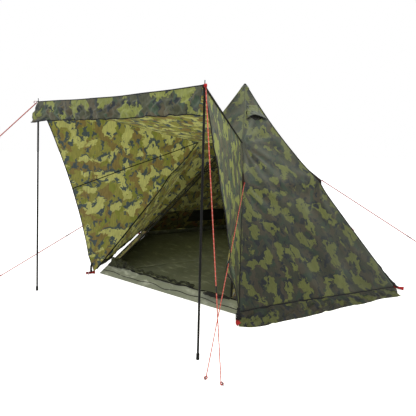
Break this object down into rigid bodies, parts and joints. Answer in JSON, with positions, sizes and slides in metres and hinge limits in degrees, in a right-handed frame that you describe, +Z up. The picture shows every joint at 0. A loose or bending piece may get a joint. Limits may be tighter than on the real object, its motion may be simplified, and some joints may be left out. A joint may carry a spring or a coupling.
{
  "type": "teepee tent",
  "caption": "Hexagonal single-pole teepee tent with a raised canopy porch on two poles, an inner mesh tent, a bathtub floor, guylines and pegs.",
  "frame": {"origin": "on the ground, on the axis of the centre pole", "axes": "+Z up along the centre pole; the door and its canopy face -Y; +X to the right of someone who looks at the door from outside"},
  "size_m": [5.6247, 5.9836, 2.3679],
  "materials": {
    "fly_fabric": "matt woven polyester in a four-colour woodland camouflage with a ripstop grid",
    "binding": "black folded seam binding",
    "webbing": "red ribbed webbing",
    "mesh": "black fine insect mesh with a solid lower band",
    "floor_fabric": "coated grey-green woven floor fabric",
    "cord": "braided salmon cord with pale reflective flecks",
    "black_plastic": "moulded black plastic",
    "rubber": "black rubber",
    "pole_metal": "black powder-coated steel tube",
    "wire_metal": "bent steel wire"
  },
  "bodies": {
    "root": {"fly_peak_front": "fly_fabric", "fly_wall_right_front": "fly_fabric", "fly_wall_right_back": "fly_fabric", "fly_wall_back": "fly_fabric", "fly_wall_left_back": "fly_fabric", "fly_wall_left_front": "fly_fabric", "fly_cap": "fly_fabric", "ridge_tapes": "binding", "mud_skirts": "fly_fabric", "canopy_wing_left": "fly_fabric", "canopy_wing_right": "fly_fabric", "vent_mesh": "mesh", "corner_loops": "webbing", "guy_tabs": "binding", "groundsheet": "floor_fabric", "tub_rim": "floor_fabric", "inner_front_frame": "mesh", "inner_wall_right_front": "mesh", "inner_wall_right_back": "mesh", "inner_wall_back": "mesh", "inner_wall_left_back": "mesh", "inner_wall_left_front": "mesh", "inner_peak_ring": "black_plastic", "inner_door_roll": "mesh", "inner_door_zip": "binding", "lantern_hook": "wire_metal", "centre_pole_lower": "pole_metal", "centre_pole_middle": "pole_metal", "centre_pole_upper": "pole_metal", "centre_pole_foot": "rubber", "centre_pole_cap": "rubber", "ridge_guylines": "cord", "hem_pegs": "wire_metal", "guy_pegs": "wire_metal"},
    "canopy": {"canopy_roof": "fly_fabric", "canopy_corner_tabs": "webbing"},
    "valance": {"canopy_valance": "fly_fabric"},
    "pole_left": {"pole_left_lower": "pole_metal", "pole_left_middle": "pole_metal", "pole_left_upper": "pole_metal", "pole_left_foot": "rubber"},
    "pole_right": {"pole_right_lower": "pole_metal", "pole_right_middle": "pole_metal", "pole_right_upper": "pole_metal", "pole_right_foot": "rubber"},
    "guy_left": {"canopy_guy_left": "cord"},
    "guy_right": {"canopy_guy_right": "cord"},
    "vent": {"vent_hood": "fly_fabric", "vent_stiffener": "black_plastic"},
    "zip_slider": {"inner_zip_slider": "black_plastic"},
    "tensioner_canopy_left": {"tensioner_canopy_left": "black_plastic"},
    "tensioner_canopy_right": {"tensioner_canopy_right": "black_plastic"},
    "tensioner_front_left": {"tensioner_front_left": "black_plastic"},
    "tensioner_front_right": {"tensioner_front_right": "black_plastic"},
    "tensioner_right": {"tensioner_right": "black_plastic"},
    "tensioner_back_right": {"tensioner_back_right": "black_plastic"},
    "tensioner_back_left": {"tensioner_back_left": "black_plastic"},
    "tensioner_left": {"tensioner_left": "black_plastic"}
  },
  "joints": [
    {"name": "canopy_lower", "type": "hinge", "parent": "root", "child": "canopy", "pos_m": [0, -0.54034, 1.4718], "axis": [1, 0, 0], "range_deg": [0, 48]},
    {"name": "valance_hang", "type": "hinge", "parent": "canopy", "child": "valance", "pos_m": [0, -2.15, 1.8], "axis": [1, 0, 0], "range_deg": [-48.1, 0]},
    {"name": "pole_left_fold", "type": "hinge", "parent": "root", "child": "pole_left", "pos_m": [-0.985, -2.246, 0.012], "axis": [1, 0, 0], "range_deg": [0, 92.4]},
    {"name": "canopy_guy_left_swing", "type": "hinge", "parent": "root", "child": "guy_left", "pos_m": [-2.66, -3.35, 0.014], "axis": [-0.82, -0.5724, 0], "range_deg": [0, 89]},
    {"name": "pole_right_fold", "type": "hinge", "parent": "root", "child": "pole_right", "pos_m": [0.985, -2.246, 0.012], "axis": [1, 0, 0], "range_deg": [0, 92.4]},
    {"name": "canopy_guy_right_swing", "type": "hinge", "parent": "root", "child": "guy_right", "pos_m": [1.255, -2.372, 0.014], "axis": [-0.8167, 0.5771, 0], "range_deg": [0, 89]},
    {"name": "vent_flap", "type": "hinge", "parent": "root", "child": "vent", "pos_m": [0.18444, -0.10648, 1.92138], "axis": [0.5, 0.866, 0], "range_deg": [-8, 14]},
    {"name": "inner_zip_slide", "type": "slide", "parent": "root", "child": "zip_slider", "axis": [-0.3726, 0.6175, 0.6927], "range_m": [0, 0.9]},
    {"name": "tensioner_front_left_slide", "type": "slide", "parent": "root", "child": "tensioner_front_left", "axis": [0.5362, 0.6717, 0.5111], "range_m": [-0.63, 0.75]},
    {"name": "tensioner_front_right_slide", "type": "slide", "parent": "root", "child": "tensioner_front_right", "axis": [-0.3187, 0.7752, 0.5454], "range_m": [-0.75, 0.75]},
    {"name": "tensioner_right_slide", "type": "slide", "parent": "root", "child": "tensioner_right", "axis": [-0.8597, -0.0936, 0.5021], "range_m": [-0.75, 0.6]},
    {"name": "tensioner_back_right_slide", "type": "slide", "parent": "root", "child": "tensioner_back_right", "axis": [-0.161, -0.8342, 0.5273], "range_m": [-0.75, 0.75]},
    {"name": "tensioner_back_left_slide", "type": "slide", "parent": "root", "child": "tensioner_back_left", "axis": [0.161, -0.8342, 0.5273], "range_m": [-0.75, 0.75]},
    {"name": "tensioner_left_slide", "type": "slide", "parent": "root", "child": "tensioner_left", "axis": [0.8447, 0, 0.5353], "range_m": [-0.75, 0.75]},
    {"name": "tensioner_canopy_left_slide", "type": "slide", "parent": "guy_left", "child": "tensioner_canopy_left", "axis": [0.6236, 0.4353, 0.6493], "range_m": [-0.45, 0.9]},
    {"name": "tensioner_canopy_right_slide", "type": "slide", "parent": "guy_right", "child": "tensioner_canopy_right", "axis": [-0.1658, 0.1171, 0.9792], "range_m": [-0.45, 0.9]}
  ],
  "couplings": [
    {"joint": "valance_hang", "follows": "canopy_lower", "ratio": -1},
    {"joint": "pole_left_fold", "follows": "canopy_lower", "ratio": 1.923},
    {"joint": "canopy_guy_left_swing", "follows": "canopy_lower", "ratio": 1.852},
    {"joint": "pole_right_fold", "follows": "canopy_lower", "ratio": 1.923},
    {"joint": "canopy_guy_right_swing", "follows": "canopy_lower", "ratio": 1.852}
  ]
}
